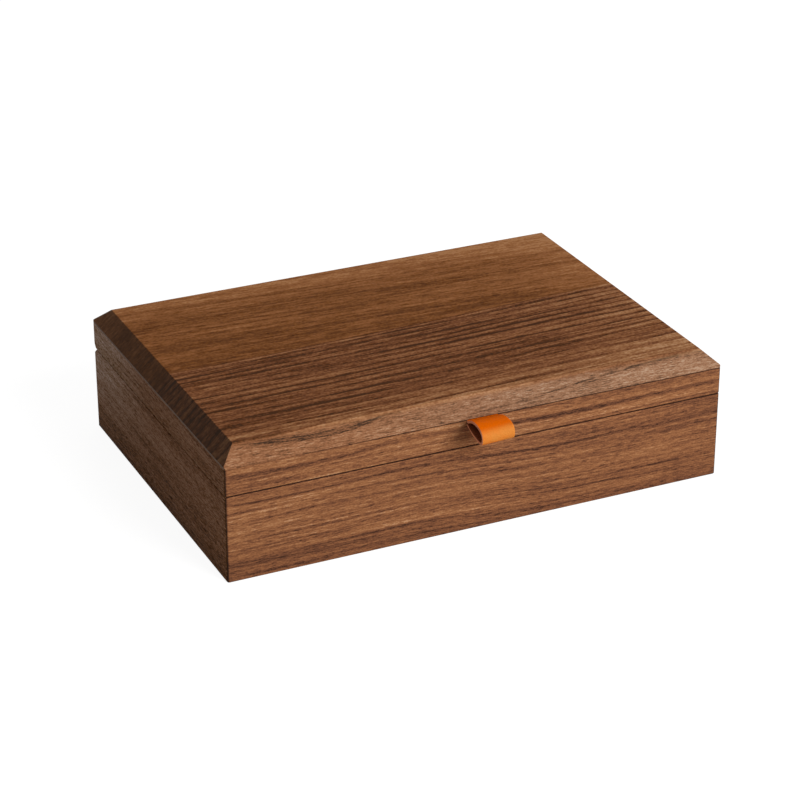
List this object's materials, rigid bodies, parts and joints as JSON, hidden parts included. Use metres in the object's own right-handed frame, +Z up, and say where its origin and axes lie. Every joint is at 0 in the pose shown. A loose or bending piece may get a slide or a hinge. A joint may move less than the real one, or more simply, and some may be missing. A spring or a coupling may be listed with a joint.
{
  "type": "jewelry box",
  "caption": "Low hinged-lid wooden jewelry box with a bevelled lid, a leather loop tab at the front, lined trays and rolls for rings.",
  "frame": {"origin": "middle of the underside of the base, on the surface that the box stands on", "axes": "+Z up, +X along the width to the right as seen from the front, +Y to the back with the hinges"},
  "size_m": [0.24, 0.1867, 0.0615],
  "materials": {
    "walnut": "satin oiled",
    "panel_wood": "matt",
    "brass": "satin",
    "nickel": "polished",
    "suede": "brushed nap",
    "tan_leather": "smooth dyed"
  },
  "bodies": {
    "base": {"back_lining": "suede", "base_back_wall": "walnut", "base_front_wall": "walnut", "base_hinge_screws": "brass", "base_left_wall": "walnut", "base_magnets": "nickel", "base_mitre_splines": "panel_wood", "base_right_wall": "walnut", "bottom_panel": "panel_wood", "centre_divider": "suede", "floor_lining": "suede", "front_lining": "suede", "left_hinge_base_leaf": "brass", "left_hinge_pin": "brass", "left_lining": "suede", "left_long_divider": "suede", "left_side_divider": "suede", "right_hinge_base_leaf": "brass", "right_hinge_pin": "brass", "right_lining": "suede", "right_long_divider": "suede", "right_side_divider": "suede", "ring_roll_1": "suede", "ring_roll_2": "suede", "ring_roll_3": "suede", "ring_roll_4": "suede", "ring_roll_5": "suede", "ring_roll_6": "suede"},
    "lid": {"left_hinge_lid_leaf": "brass", "lid_back_rail": "walnut", "lid_front_rail": "walnut", "lid_hinge_screws": "brass", "lid_left_rail": "walnut", "lid_lining": "suede", "lid_magnets": "nickel", "lid_mitre_splines": "panel_wood", "lid_right_rail": "walnut", "lid_top_board": "walnut", "pull_tab": "tan_leather", "right_hinge_lid_leaf": "brass"}
  },
  "joints": [
    {"name": "lid_hinge", "type": "hinge", "parent": "base", "child": "lid", "pos_m": [0, 0.0817, 0.041], "axis": [-1, 0, 0], "range_deg": [0, 102]}
  ]
}
